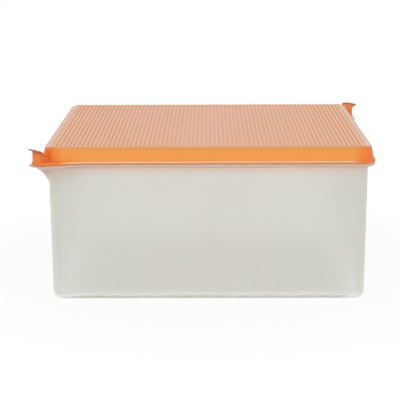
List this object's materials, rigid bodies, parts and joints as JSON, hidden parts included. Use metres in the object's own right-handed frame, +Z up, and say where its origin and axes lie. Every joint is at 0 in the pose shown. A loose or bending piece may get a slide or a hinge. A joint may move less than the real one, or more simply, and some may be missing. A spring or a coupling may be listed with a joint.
{
  "type": "food storage container",
  "caption": "Rectangular food storage box with a press-on ribbed lid that has a pull tab on two opposite corners.",
  "frame": {"origin": "on the floor under the middle of the box", "axes": "+X along the longer side, towards the right of the picture; +Y to the back, away from the viewer of the picture; +Z up"},
  "size_m": [0.3278, 0.2758, 0.1466],
  "materials": {
    "base_plastic": "translucent frosted, satin",
    "lid_plastic": "translucent orange, soft sheen"
  },
  "bodies": {
    "base": {"container_base": "base_plastic"},
    "lid": {"ribbed_lid": "lid_plastic"}
  },
  "joints": [
    {"name": "lid_lift", "type": "slide", "parent": "base", "child": "lid", "axis": [0, 0, 1], "range_m": [0, 0.18]}
  ]
}
